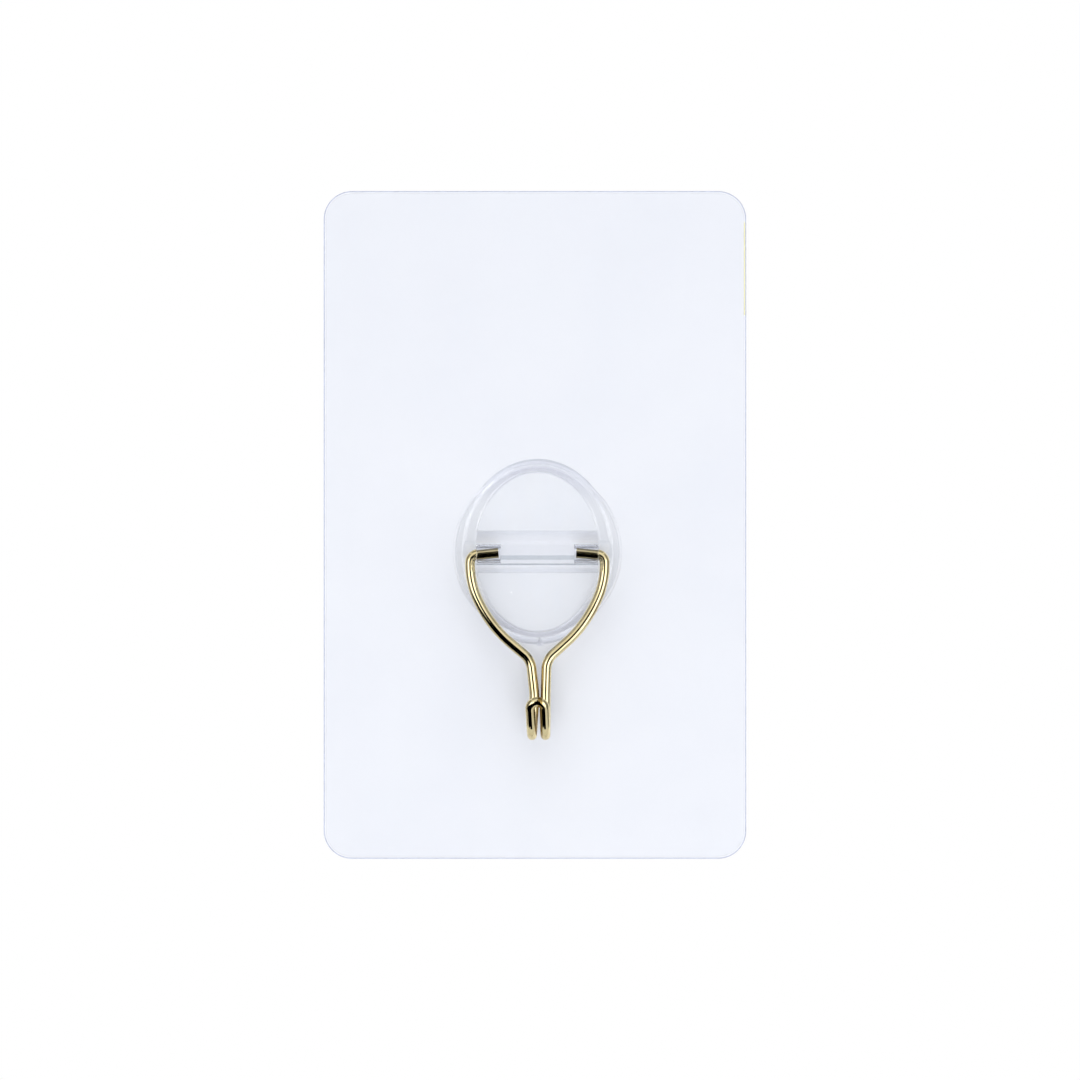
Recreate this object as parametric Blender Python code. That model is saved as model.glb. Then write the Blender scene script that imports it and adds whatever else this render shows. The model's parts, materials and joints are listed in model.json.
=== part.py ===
"""Adhesive wreath hanger: a clear self-adhesive pad that carries a clear moulded base and a swinging wire hook.

Run it in Blender's text editor, or with blender --background --python part.py. Units are metres. The pad
stands upright, +Z is up, +X is to the right for someone who faces it, and +Y points into the wall. The origin
is the centre of the adhesive's back face, which is the face that meets the wall once the liner is off.

Every piece is modelled in the pad's own frame, where x runs across the pad, y runs up it and z runs out of
the wall, and the empty called pad_frame turns that frame upright.
"""

import math

import bmesh
import bpy
from mathutils import Vector

# Pad laminate
PAD_WIDTH = 0.0600
PAD_HEIGHT = 0.0948
PAD_CORNER_RADIUS = 0.0040
SHEET_THICKNESS = 0.00055
SHEET_RIM = 0.00025
ADHESIVE_THICKNESS = 0.00050
ADHESIVE_SETBACK = 0.00035
LINER_THICKNESS = 0.00012
LAMINATE_GAP = 0.00002

# Peel tab, let into the liner's right edge
TAB_LENGTH = 0.0132
TAB_WIDTH = 0.00055
TAB_BELOW_PAD_TOP = 0.0110
TAB_CLEARANCE = 0.00005

# Place of the hook's base on the pad, from the pad's centre
BASE_RIGHT = 0.00034
BASE_DROP = 0.0038

# Bonding film under the base
BOND_THICKNESS = 0.00012
BOND_SETBACK = 0.0005

# Base: round flange
FLANGE_RADIUS = 0.0120
FLANGE_THICKNESS = 0.0009
FLANGE_ROUND = 0.00035

# Base: raised oval ring, a little taller than the flange is wide
RING_FOOT_HALF_WIDTH = 0.0110
RING_FOOT_HALF_HEIGHT = 0.01316
RING_CREST_HALF_WIDTH = 0.01035
RING_CREST_HALF_HEIGHT = 0.01207
RING_WINDOW_HALF_WIDTH = 0.00875
RING_WINDOW_HALF_HEIGHT = 0.0113
RING_HEIGHT = 0.0025
RING_WINDOW_DRAFT = 0.00012
RING_ROUND = 0.00022
GATE_WIDTH = 0.0009
GATE_RIGHT = 0.00037
GATE_STAND = 0.00025

# Base: cross barrel with a blind bore at each end
BARREL_LENGTH = 0.01724
BARREL_RADIUS = 0.0030
BARREL_AXIS_HEIGHT = 0.0035
BARREL_CHAMFER = 0.00015
BARREL_ROOT_TOP = 0.0022
BARREL_ROOT_INSET = 0.0003
BORE_RADIUS = 0.00095
BORE_DEPTH = 0.00335
PIVOT_DROP = 0.0002
SADDLE_RADIUS = 0.0020
SPOT_FACE_DEPTH = 0.00008

# Hook: one length of wire, folded double
WIRE_DIAMETER = 0.0014
WIRE_END_GAP = 0.0003
WIRE_END_TILT = math.radians(5.0)
ARM_CLEARANCE = 0.0002
ELBOW_RADIUS = 0.0012
SHOULDER_DROP = 0.0040
SHOULDER_RADIUS = 0.0090
WAIST_HALF_WIDTH = 0.0065
WAIST_DROP = 0.01015
WAIST_RADIUS = 0.0090
NECK_GAP = 0.00086
NECK_DROP = 0.0151
NECK_RADIUS = 0.0030
STEM_GAP = 0.00030
STEM_DROP = 0.0200
STEM_RADIUS = 0.0080
HEEL_GAP = 0.00048
HOOK_DROP = 0.0256
THROAT_WIDTH = 0.0056
TIP_RISE = 0.0048
TIP_FLARE = math.radians(27.0)
TIP_GAP = 0.00060
NECK_LEAN = 0.00017
STEM_LEAN = 0.00038
HEEL_LEAN = 0.00020
TIP_LEAN = -0.00004

# How finely round shapes are cut
CORNER_SEGMENTS = 12
OVAL_SEGMENTS = 96
BARREL_SEGMENTS = 36
BORE_SEGMENTS = 36
WIRE_BEND_STEP = math.radians(7.5)
WIRE_SIDE_SETTING = 5
SMOOTH_ANGLE = math.radians(30)

# Places along the frame's z axis, out of the wall
SHEET_BACK = ADHESIVE_THICKNESS + LAMINATE_GAP
SHEET_FRONT = SHEET_BACK + SHEET_THICKNESS
BOND_BACK = SHEET_FRONT + LAMINATE_GAP
BASE_BACK = BOND_BACK + BOND_THICKNESS + LAMINATE_GAP
LINER_BACK = -LAMINATE_GAP - LINER_THICKNESS
WIRE_RADIUS = WIRE_DIAMETER / 2
MOUTH = BARREL_LENGTH / 2 - SPOT_FACE_DEPTH
CUT_SPARE = 0.002


def clear_scene():
    """Remove every object that the scene holds."""
    for obj in list(bpy.data.objects):
        bpy.data.objects.remove(obj, do_unlink=True)


def make_material(name, colour, roughness, metallic=0.0, transmission=0.0):
    """A Principled BSDF material."""
    material = bpy.data.materials.new(name)
    material.use_nodes = True
    shader = material.node_tree.nodes["Principled BSDF"]
    shader.inputs["Base Color"].default_value = (*colour, 1.0)
    shader.inputs["Roughness"].default_value = roughness
    shader.inputs["Metallic"].default_value = metallic
    shader.inputs["Transmission Weight"].default_value = transmission
    return material


def add_object(name, data, material, parent, place):
    """Put a mesh or a curve into the scene, in its parent's frame."""
    data.materials.append(material)
    obj = bpy.data.objects.new(name, data)
    bpy.context.scene.collection.objects.link(obj)
    obj.parent = parent
    obj.location = place
    return obj


def to_mesh(bm, name):
    """Turn a bmesh into a mesh whose faces point outwards, shaded smooth between its sharp edges."""
    bmesh.ops.recalc_face_normals(bm, faces=bm.faces[:])
    mesh = bpy.data.meshes.new(name)
    bm.to_mesh(mesh)
    bm.free()
    mesh.shade_smooth()
    mesh.set_sharp_from_angle(angle=SMOOTH_ANGLE)
    return mesh


def raise_faces(bm, faces, depth):
    """Extrude flat faces along z by depth, into a closed solid."""
    extruded = bmesh.ops.extrude_face_region(bm, geom=faces)["geom"]
    corners = [item for item in extruded if isinstance(item, bmesh.types.BMVert)]
    bmesh.ops.translate(bm, verts=corners, vec=(0.0, 0.0, depth))


def edges_at(bm, height):
    """The edges that lie in the plane z = height."""
    tolerance = 1e-7
    return [e for e in bm.edges if all(abs(v.co.z - height) < tolerance for v in e.verts)]


def box(width, length, depth):
    """A box that stands on z = 0, centred on the z axis."""
    bm = bmesh.new()
    bmesh.ops.create_cube(bm, size=1.0)
    bmesh.ops.translate(bm, verts=bm.verts[:], vec=(0.0, 0.0, 0.5))
    bmesh.ops.scale(bm, verts=bm.verts[:], vec=(width, length, depth))
    return bm


def rounded_plate(width, height, corner, depth, rim=0.0):
    """A plate with round corners that stands on z = 0, with its front rim rounded where rim is given."""
    bm = bmesh.new()
    bmesh.ops.create_grid(bm, x_segments=1, y_segments=1, size=0.5)
    bmesh.ops.scale(bm, verts=bm.verts[:], vec=(width, height, 1.0))
    bmesh.ops.bevel(
        bm, geom=bm.verts[:], offset=corner, segments=CORNER_SEGMENTS, profile=0.5, affect="VERTICES"
    )
    raise_faces(bm, bm.faces[:], depth)
    if rim:
        bmesh.ops.bevel(
            bm, geom=edges_at(bm, depth), offset=rim, segments=3, profile=0.5, affect="EDGES"
        )
    return bm


def stepped_cutter(side):
    """The space of one bore and its saddle: a narrow rod along x that widens at the barrel's mouth.

    It starts at the bore's blind end, which lies on x = 0, and side is 1 to run towards +x, -1 towards -x.
    """
    bm = bmesh.new()
    bmesh.ops.create_circle(bm, cap_ends=True, segments=BORE_SEGMENTS, radius=BORE_RADIUS)
    raise_faces(bm, bm.faces[:], BORE_DEPTH)
    mouth = [face for face in bm.faces if face.calc_center_median().z > BORE_DEPTH * 0.99]
    widened = bmesh.ops.extrude_face_region(bm, geom=mouth)["geom"]
    corners = [item for item in widened if isinstance(item, bmesh.types.BMVert)]
    bmesh.ops.delete(bm, geom=mouth, context="FACES_ONLY")
    widening = SADDLE_RADIUS / BORE_RADIUS
    bmesh.ops.scale(bm, verts=corners, vec=(widening, widening, 1.0))
    wide_faces = [item for item in widened if isinstance(item, bmesh.types.BMFace)]
    raise_faces(bm, wide_faces, RING_FOOT_HALF_WIDTH - MOUTH + CUT_SPARE)
    bmesh.ops.delete(bm, geom=wide_faces, context="FACES_ONLY")
    turn = Vector((0.0, 0.0, 1.0)).rotation_difference(Vector((side, 0.0, 0.0))).to_matrix()
    bmesh.ops.rotate(bm, cent=(0.0, 0.0, 0.0), matrix=turn, verts=bm.verts[:])
    return bm


def loft_ovals(bm, ovals):
    """A closed band that runs from oval (half width, half height, level) to oval and back to the first."""
    verts = bmesh.ops.create_circle(bm, segments=OVAL_SEGMENTS, radius=1.0)["verts"]
    bmesh.ops.scale(bm, verts=verts, vec=(ovals[0][0], ovals[0][1], 1.0))
    bmesh.ops.translate(bm, verts=verts, vec=(0.0, 0.0, ovals[0][2]))
    edges = bm.edges[:]
    for old, new in zip(ovals, ovals[1:] + ovals[:1]):
        extruded = bmesh.ops.extrude_edge_only(bm, edges=edges)["geom"]
        verts = [item for item in extruded if isinstance(item, bmesh.types.BMVert)]
        edges = [item for item in extruded if isinstance(item, bmesh.types.BMEdge)]
        edges = [edge for edge in edges if all(vert in verts for vert in edge.verts)]
        bmesh.ops.scale(bm, verts=verts, vec=(new[0] / old[0], new[1] / old[1], 1.0))
        bmesh.ops.translate(bm, verts=verts, vec=(0.0, 0.0, new[2] - old[2]))
    bmesh.ops.remove_doubles(bm, verts=bm.verts[:], dist=1e-6)


def pad_plate(name, thickness, place, material, frame, setback=0.0, rim=0.0):
    """One layer of the pad, with its edge set back from the pad's outline."""
    bm = rounded_plate(
        PAD_WIDTH - 2 * setback, PAD_HEIGHT - 2 * setback, PAD_CORNER_RADIUS - setback, thickness, rim
    )
    return add_object(name, to_mesh(bm, name), material, frame, (0.0, 0.0, place))


def add_cutter(name, bm, parent, place):
    """A helper solid for a Boolean. It isn't part of the object."""
    mesh = to_mesh(bm, name)
    obj = bpy.data.objects.new(name, mesh)
    bpy.context.scene.collection.objects.link(obj)
    obj.parent = parent
    obj.location = place
    obj.hide_render = True
    obj.display_type = "WIRE"
    return obj


def combine(target, other, operation):
    """Add an exact Boolean with another solid to an object."""
    modifier = target.modifiers.new(other.name, "BOOLEAN")
    modifier.operation = operation
    modifier.object = other
    modifier.solver = "EXACT"


def make_liner(frame, material, tab_material):
    """The release liner, and the peel tab that is let into its right edge."""
    liner = pad_plate("release_liner", LINER_THICKNESS, LINER_BACK, material, frame)
    notch = box(
        2 * (TAB_WIDTH + TAB_CLEARANCE), TAB_LENGTH + 2 * TAB_CLEARANCE, LINER_THICKNESS + 2 * CUT_SPARE
    )
    edge = PAD_WIDTH / 2
    tab_level = PAD_HEIGHT / 2 - TAB_BELOW_PAD_TOP
    cutter = add_cutter("tab_notch_cutter", notch, frame, (edge, tab_level, LINER_BACK - CUT_SPARE))
    combine(liner, cutter, "DIFFERENCE")
    tab = to_mesh(box(TAB_WIDTH, TAB_LENGTH, LINER_THICKNESS), "peel_tab")
    place = (edge - TAB_WIDTH / 2, tab_level, LINER_BACK)
    add_object("peel_tab", tab, tab_material, frame, place)


def flange_solid():
    """The base's round flange, with its front rim rounded."""
    bm = bmesh.new()
    bmesh.ops.create_circle(bm, cap_ends=True, segments=OVAL_SEGMENTS, radius=FLANGE_RADIUS)
    raise_faces(bm, bm.faces[:], FLANGE_THICKNESS)
    bmesh.ops.bevel(
        bm, geom=edges_at(bm, FLANGE_THICKNESS), offset=FLANGE_ROUND, segments=4, profile=0.5,
        affect="EDGES",
    )
    return bm


def ring_section():
    """The ring's section as ovals (half width, half height, level), from its foot over its crest."""
    slope = (RING_HEIGHT - RING_ROUND) / RING_HEIGHT
    across = RING_FOOT_HALF_WIDTH - RING_CREST_HALF_WIDTH
    along = RING_FOOT_HALF_HEIGHT - RING_CREST_HALF_HEIGHT
    ease = RING_ROUND * (1 - math.sqrt(0.5))
    window_w = RING_WINDOW_HALF_WIDTH
    window_h = RING_WINDOW_HALF_HEIGHT
    draft = RING_WINDOW_DRAFT
    return [
        (RING_FOOT_HALF_WIDTH, RING_FOOT_HALF_HEIGHT, 0.0),
        (
            RING_FOOT_HALF_WIDTH - across * slope,
            RING_FOOT_HALF_HEIGHT - along * slope,
            RING_HEIGHT - RING_ROUND,
        ),
        (RING_CREST_HALF_WIDTH - ease, RING_CREST_HALF_HEIGHT - ease, RING_HEIGHT - ease),
        (RING_CREST_HALF_WIDTH - RING_ROUND, RING_CREST_HALF_HEIGHT - RING_ROUND, RING_HEIGHT),
        (window_w + draft + RING_ROUND, window_h + draft + RING_ROUND, RING_HEIGHT),
        (window_w + draft + ease, window_h + draft + ease, RING_HEIGHT - ease),
        (window_w + draft, window_h + draft, RING_HEIGHT - RING_ROUND),
        (window_w, window_h, 0.0),
    ]


def ring_solid():
    """The base's raised oval ring."""
    bm = bmesh.new()
    loft_ovals(bm, ring_section())
    return bm


def barrel_solid():
    """The base's cross barrel: round in front, with flat flanks down into the flange."""
    bm = bmesh.new()
    foot = FLANGE_THICKNESS / 2
    left_end = -BARREL_LENGTH / 2
    outline = [bm.verts.new((left_end, -BARREL_RADIUS, foot))]
    for step in range(BARREL_SEGMENTS + 1):
        angle = math.pi * (1 - step / BARREL_SEGMENTS)
        across = BARREL_RADIUS * math.cos(angle)
        out = BARREL_AXIS_HEIGHT + BARREL_RADIUS * math.sin(angle)
        outline.append(bm.verts.new((left_end, across, out)))
    outline.append(bm.verts.new((left_end, BARREL_RADIUS, foot)))
    end_face = bm.faces.new(outline)
    extruded = bmesh.ops.extrude_face_region(bm, geom=[end_face])["geom"]
    corners = [item for item in extruded if isinstance(item, bmesh.types.BMVert)]
    bmesh.ops.translate(bm, verts=corners, vec=(BARREL_LENGTH, 0.0, 0.0))
    bmesh.ops.recalc_face_normals(bm, faces=bm.faces[:])
    rims = [e for e in bm.edges if abs(e.verts[0].co.x - e.verts[1].co.x) < BARREL_LENGTH / 2]
    bmesh.ops.bevel(
        bm, geom=rims, offset=BARREL_CHAMFER, segments=2, profile=0.5, affect="EDGES", clamp_overlap=True
    )
    return bm


def make_base(frame, material):
    """The moulded base: flange, oval ring and cross barrel in one, with its bores and wire saddles."""
    centre = Vector((BASE_RIGHT, -BASE_DROP, BASE_BACK))
    pivot = centre + Vector((0.0, -PIVOT_DROP, BARREL_AXIS_HEIGHT))
    base = add_object("hook_base", to_mesh(flange_solid(), "hook_base"), material, frame, centre)
    root_length = 2 * RING_WINDOW_HALF_WIDTH + RING_ROUND
    root_width = 2 * (BARREL_RADIUS - BARREL_ROOT_INSET)
    gate_reach = (RING_FOOT_HALF_HEIGHT - RING_WINDOW_HALF_HEIGHT) / 2 + GATE_STAND
    gate_place = centre + Vector((GATE_RIGHT, gate_reach / 2 - RING_FOOT_HALF_HEIGHT - GATE_STAND, 0.0))
    added = [
        ("ring_form", ring_solid(), centre),
        ("barrel_form", barrel_solid(), centre),
        ("barrel_root_form", box(root_length, root_width, BARREL_ROOT_TOP), centre),
        ("gate_form", box(GATE_WIDTH, gate_reach, FLANGE_THICKNESS / 2), gate_place),
    ]
    for name, bm, place in added:
        combine(base, add_cutter(name, bm, frame, place), "UNION")
    for side, word in ((-1, "left"), (1, "right")):
        blind_end = pivot + Vector((side * (MOUTH - BORE_DEPTH), 0.0, 0.0))
        cutter = add_cutter(f"{word}_bore_cutter", stepped_cutter(side), frame, blind_end)
        combine(base, cutter, "DIFFERENCE")


def make_bond(frame, material):
    """The clear bonding film between the base and the sheet."""
    bm = bmesh.new()
    bmesh.ops.create_circle(
        bm, cap_ends=True, segments=OVAL_SEGMENTS, radius=FLANGE_RADIUS - BOND_SETBACK
    )
    raise_faces(bm, bm.faces[:], BOND_THICKNESS)
    place = (BASE_RIGHT, -BASE_DROP, BOND_BACK)
    add_object("base_bond", to_mesh(bm, "base_bond"), material, frame, place)


def hook_corners(side):
    """Corners (point, bend radius) of one half of the wire, from its end in the bore to the tip.

    side is -1 for the left half and 1 for the right. Below the waist the two halves lean a little to one
    side together, as a hand-bent wire does. From the bottom of the hook the wire rises again in front of
    the stem, and leans away from it by the tip's flare.
    """
    end_x = MOUTH - BORE_DEPTH + WIRE_END_GAP
    arm_x = BARREL_LENGTH / 2 + ARM_CLEARANCE + WIRE_RADIUS
    mid_bore_x = MOUTH - BORE_DEPTH / 2
    fall = math.tan(WIRE_END_TILT)
    tip_x = WIRE_RADIUS + TIP_GAP / 2
    throat_radius = (THROAT_WIDTH + WIRE_DIAMETER) / 2
    front_bend = math.pi / 2 - TIP_FLARE
    reach = throat_radius * (1 + math.tan(front_bend / 2))
    tip_reach = reach + TIP_RISE * math.tan(TIP_FLARE)
    neck_x = side * (WIRE_RADIUS + NECK_GAP / 2) + NECK_LEAN
    stem_x = side * (WIRE_RADIUS + STEM_GAP / 2) + STEM_LEAN
    heel_x = side * (WIRE_RADIUS + HEEL_GAP / 2) + HEEL_LEAN
    return [
        (Vector((side * end_x, (mid_bore_x - end_x) * fall, 0.0)), 0.0),
        (Vector((side * arm_x, (mid_bore_x - arm_x) * fall, 0.0)), ELBOW_RADIUS),
        (Vector((side * arm_x, -SHOULDER_DROP, 0.0)), SHOULDER_RADIUS),
        (Vector((side * WAIST_HALF_WIDTH, -WAIST_DROP, 0.0)), WAIST_RADIUS),
        (Vector((neck_x, -NECK_DROP, 0.0)), NECK_RADIUS),
        (Vector((stem_x, -STEM_DROP, 0.0)), STEM_RADIUS),
        (Vector((heel_x, -HOOK_DROP, 0.0)), throat_radius),
        (Vector((heel_x, -HOOK_DROP, reach)), throat_radius),
        (Vector((side * tip_x + TIP_LEAN, TIP_RISE - HOOK_DROP, tip_reach)), tip_x),
    ]


def bent_path(corners):
    """Points along straight runs whose corners are bent to the given radii."""
    points = [corners[0][0]]
    for (before, _), (corner, radius), (after, _) in zip(corners, corners[1:], corners[2:]):
        inward = (before - corner).normalized()
        onward = (after - corner).normalized()
        turn = math.pi - inward.angle(onward)
        setback = radius * math.tan(turn / 2)
        bisector = (inward + onward).normalized()
        centre = corner + bisector * (radius / math.cos(turn / 2))
        start = corner + inward * setback
        steps = max(2, math.ceil(turn / WIRE_BEND_STEP))
        across = start - centre
        along = -inward * radius
        for step in range(steps + 1):
            angle = turn * step / steps
            points.append(centre + across * math.cos(angle) + along * math.sin(angle))
    points.append(corners[-1][0])
    return points


def make_hook(frame, material):
    """The wire hook. Its origin is on the axis of the bores, on which it swings."""
    path = bent_path(hook_corners(-1) + hook_corners(1)[::-1])
    curve = bpy.data.curves.new("wire_hook", "CURVE")
    curve.dimensions = "3D"
    curve.bevel_depth = WIRE_RADIUS
    curve.bevel_resolution = WIRE_SIDE_SETTING
    curve.use_fill_caps = True
    spline = curve.splines.new("POLY")
    spline.points.add(len(path) - 1)
    for point, place in zip(spline.points, path):
        point.co = (*place, 1.0)
    pivot = (BASE_RIGHT, -BASE_DROP - PIVOT_DROP, BASE_BACK + BARREL_AXIS_HEIGHT)
    add_object("wire_hook", curve, material, frame, pivot)


def main():
    """Build the whole hanger."""
    clear_scene()
    frame = bpy.data.objects.new("pad_frame", None)
    bpy.context.scene.collection.objects.link(frame)
    frame.rotation_euler = (math.pi / 2, 0.0, 0.0)

    clear_sheet = make_material("clear_sheet", (0.93, 0.95, 0.99), 0.08, transmission=0.9)
    clear_gel = make_material("clear_gel", (0.93, 0.95, 0.98), 0.25, transmission=0.9)
    milky_film = make_material("milky_film", (0.88, 0.90, 0.96), 0.45)
    yellow_film = make_material("yellow_film", (0.93, 0.82, 0.25), 0.4)
    clear_moulding = make_material("clear_moulding", (0.96, 0.97, 1.0), 0.03, transmission=1.0)
    pale_gold = make_material("pale_gold", (0.80, 0.66, 0.35), 0.12, metallic=1.0)

    pad_plate("adhesive_layer", ADHESIVE_THICKNESS, 0.0, clear_gel, frame, ADHESIVE_SETBACK)
    pad_plate("pad_sheet", SHEET_THICKNESS, SHEET_BACK, clear_sheet, frame, rim=SHEET_RIM)
    make_liner(frame, milky_film, yellow_film)
    make_bond(frame, clear_gel)
    make_base(frame, clear_moulding)
    make_hook(frame, pale_gold)


main()
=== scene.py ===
"""Looks of the adhesive wreath hanger: a clear pad, a clear moulded base and a folded gold wire hook.

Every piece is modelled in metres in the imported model's frame: +X to the right for someone who faces the
hook, +Y into the wall and +Z up. The pad hangs upright and the hook points towards -Y.
"""

import json
import logging
import math
from dataclasses import dataclass, field
from enum import Enum
from typing import Iterable, Optional, Sequence, Union

import bmesh
import bpy
from mathutils import Matrix, Vector


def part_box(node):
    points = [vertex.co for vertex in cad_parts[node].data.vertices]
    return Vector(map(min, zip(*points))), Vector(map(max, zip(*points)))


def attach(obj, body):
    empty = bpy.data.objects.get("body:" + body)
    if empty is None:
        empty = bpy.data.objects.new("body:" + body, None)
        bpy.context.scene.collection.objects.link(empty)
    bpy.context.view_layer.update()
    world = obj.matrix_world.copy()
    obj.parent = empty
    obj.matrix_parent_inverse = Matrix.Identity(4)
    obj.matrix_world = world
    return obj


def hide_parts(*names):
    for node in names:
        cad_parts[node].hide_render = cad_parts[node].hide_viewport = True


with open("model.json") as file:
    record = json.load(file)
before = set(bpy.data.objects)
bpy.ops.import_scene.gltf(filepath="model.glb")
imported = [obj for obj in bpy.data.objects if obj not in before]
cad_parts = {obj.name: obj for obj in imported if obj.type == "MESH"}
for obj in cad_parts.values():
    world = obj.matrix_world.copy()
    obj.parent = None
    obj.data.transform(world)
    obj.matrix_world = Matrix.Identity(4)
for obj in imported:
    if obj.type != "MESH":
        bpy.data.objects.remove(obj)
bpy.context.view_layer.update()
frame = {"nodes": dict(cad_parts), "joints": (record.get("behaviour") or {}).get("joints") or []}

log = logging.getLogger("wreath_hanger")

Colour = tuple[float, float, float]
Operand = Union["Signal", float]

SHARP_ANGLE = math.radians(30)
WELD_DISTANCE = 1e-6
SAME_LEVEL = 1e-7
UP = Vector((0.0, 0.0, 1.0))
WHITE = (1.0, 1.0, 1.0, 1.0)


class Body(Enum):
    """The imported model's rigid bodies that the new pieces ride on."""

    PAD = "pad"
    HOOK = "hook"


class Signal:
    """A shader socket that takes part in Python arithmetic."""

    def __init__(self, graph: "ShaderGraph", socket: bpy.types.NodeSocket) -> None:
        """Wrap one socket of a graph."""
        self.graph = graph
        self.socket = socket

    def _math(self, operation: str, first: Operand, second: Operand) -> "Signal":
        """Add a Math node that works on two operands."""
        return self.graph.node("ShaderNodeMath", {"operation": operation}, {0: first, 1: second})

    def __add__(self, other: Operand) -> "Signal":
        """Sum."""
        return self._math("ADD", self, other)

    def __sub__(self, other: Operand) -> "Signal":
        """Difference."""
        return self._math("SUBTRACT", self, other)

    def __rsub__(self, other: Operand) -> "Signal":
        """Difference from a number."""
        return self._math("SUBTRACT", other, self)

    def __mul__(self, other: Operand) -> "Signal":
        """Product."""
        return self._math("MULTIPLY", self, other)

    def __abs__(self) -> "Signal":
        """Size without its sign."""
        return self._math("ABSOLUTE", self, 0.0)

    def __pow__(self, other: Operand) -> "Signal":
        """Power."""
        return self._math("POWER", self, other)

    def at_least(self, other: Operand) -> "Signal":
        """The larger of this signal and another operand."""
        return self._math("MAXIMUM", self, other)

    def part(self, axis: str) -> "Signal":
        """The X, Y or Z of a vector."""
        return self.graph.node("ShaderNodeSeparateXYZ", None, {0: self}, axis)

    def band(self, middle: float, half_width: float, soft: float) -> "Signal":
        """1 where the signal lies near the middle, and 0 away from it."""
        return abs(self - middle).ramp(half_width + soft, half_width)

    def ramp(self, low: float, high: float) -> "Signal":
        """A smooth step from 0 at low to 1 at high, which may lie below low."""
        inputs = {"Value": self, "From Min": low, "From Max": high, "To Min": 0.0, "To Max": 1.0}
        return self.graph.node("ShaderNodeMapRange", {"interpolation_type": "SMOOTHSTEP"}, inputs)


class ShaderGraph:
    """The node tree of one material or of the world."""

    def __init__(self, tree: bpy.types.NodeTree) -> None:
        """Work on a node tree."""
        self.tree = tree

    def node(
        self,
        kind: str,
        settings: Optional[dict] = None,
        inputs: Optional[dict] = None,
        output: Union[int, str] = 0,
    ) -> Signal:
        """Add a node.

        Args:
            kind: the node's type.
            settings: its own settings, which are set first.
            inputs: a value or a signal for each socket, by name or number.
            output: the socket that is returned, by name or number.

        Returns:
            The signal at that output.
        """
        made = self.tree.nodes.new(kind)
        for name, value in (settings or {}).items():
            setattr(made, name, value)
        for key, value in (inputs or {}).items():
            self.feed(made.inputs[key], value)
        return Signal(self, made.outputs[output])

    def feed(self, socket: bpy.types.NodeSocket, value: object) -> None:
        """Link a signal to a socket, or set the socket's own value."""
        if isinstance(value, Signal):
            self.tree.links.new(value.socket, socket)
        else:
            socket.default_value = value

    def mix_colour(self, low: Union[Colour, Signal], high: Colour, factor: Operand) -> Signal:
        """A colour between two others."""
        first = low if isinstance(low, Signal) else (*low, 1.0)
        inputs = {0: factor, 6: first, 7: (*high, 1.0)}
        return self.node("ShaderNodeMix", {"data_type": "RGBA"}, inputs, 2)


class Surface:
    """A new material with one Principled shader, and what the finishes share."""

    def __init__(self, name: str) -> None:
        """Start a material of that name."""
        self.material = bpy.data.materials.new(name)
        self.material.use_nodes = True
        self.graph = ShaderGraph(self.material.node_tree)
        self.shader = self.material.node_tree.nodes["Principled BSDF"]
        self.place = self.graph.node("ShaderNodeTexCoord", output="Object")

    def feed(self, values: dict) -> None:
        """Set or link sockets of the Principled shader."""
        for name, value in values.items():
            self.graph.feed(self.shader.inputs[name], value)

    def stretched(self, scale: Sequence[float], source: Optional[Signal] = None) -> Signal:
        """Coordinates scaled by axis, from the object's own unless another source is given."""
        inputs = {"Vector": source or self.place, "Scale": tuple(scale)}
        return self.graph.node("ShaderNodeMapping", None, inputs)

    def noise(self, vector: Signal, scale: float, detail: float = 3.0, contrast: float = 0.5) -> Signal:
        """A noise of about 0 to 1 in those coordinates."""
        inputs = {"Vector": vector, "Scale": scale, "Detail": detail, "Roughness": contrast}
        return self.graph.node("ShaderNodeTexNoise", None, inputs, "Fac")

    def bump(self, height: Signal, depth: float) -> None:
        """Raise the surface by height times depth, in metres."""
        inputs = {"Height": height, "Distance": depth, "Strength": 1.0}
        self.feed({"Normal": self.graph.node("ShaderNodeBump", None, inputs, "Normal")})

    def let_lamps_through(self, tint: Colour, held_back: Operand) -> None:
        """Let the lamps' light through this see-through surface, tinted, instead of a hard shadow.

        Args:
            tint: the colour of the light that passes.
            held_back: the share of it that the surface turns away, as a steep wall does.
        """
        shadow_ray = self.graph.node("ShaderNodeLightPath", output="Is Shadow Ray")
        passing = self.graph.node("ShaderNodeBsdfTransparent", None, {"Color": (*tint, 1.0)})
        solid = Signal(self.graph, self.shader.outputs["BSDF"])
        share = shadow_ray * (1.0 - held_back)
        shown = self.graph.node("ShaderNodeMixShader", None, {0: share, 1: solid, 2: passing})
        self.graph.feed(self.material.node_tree.nodes["Material Output"].inputs["Surface"], shown)


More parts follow.
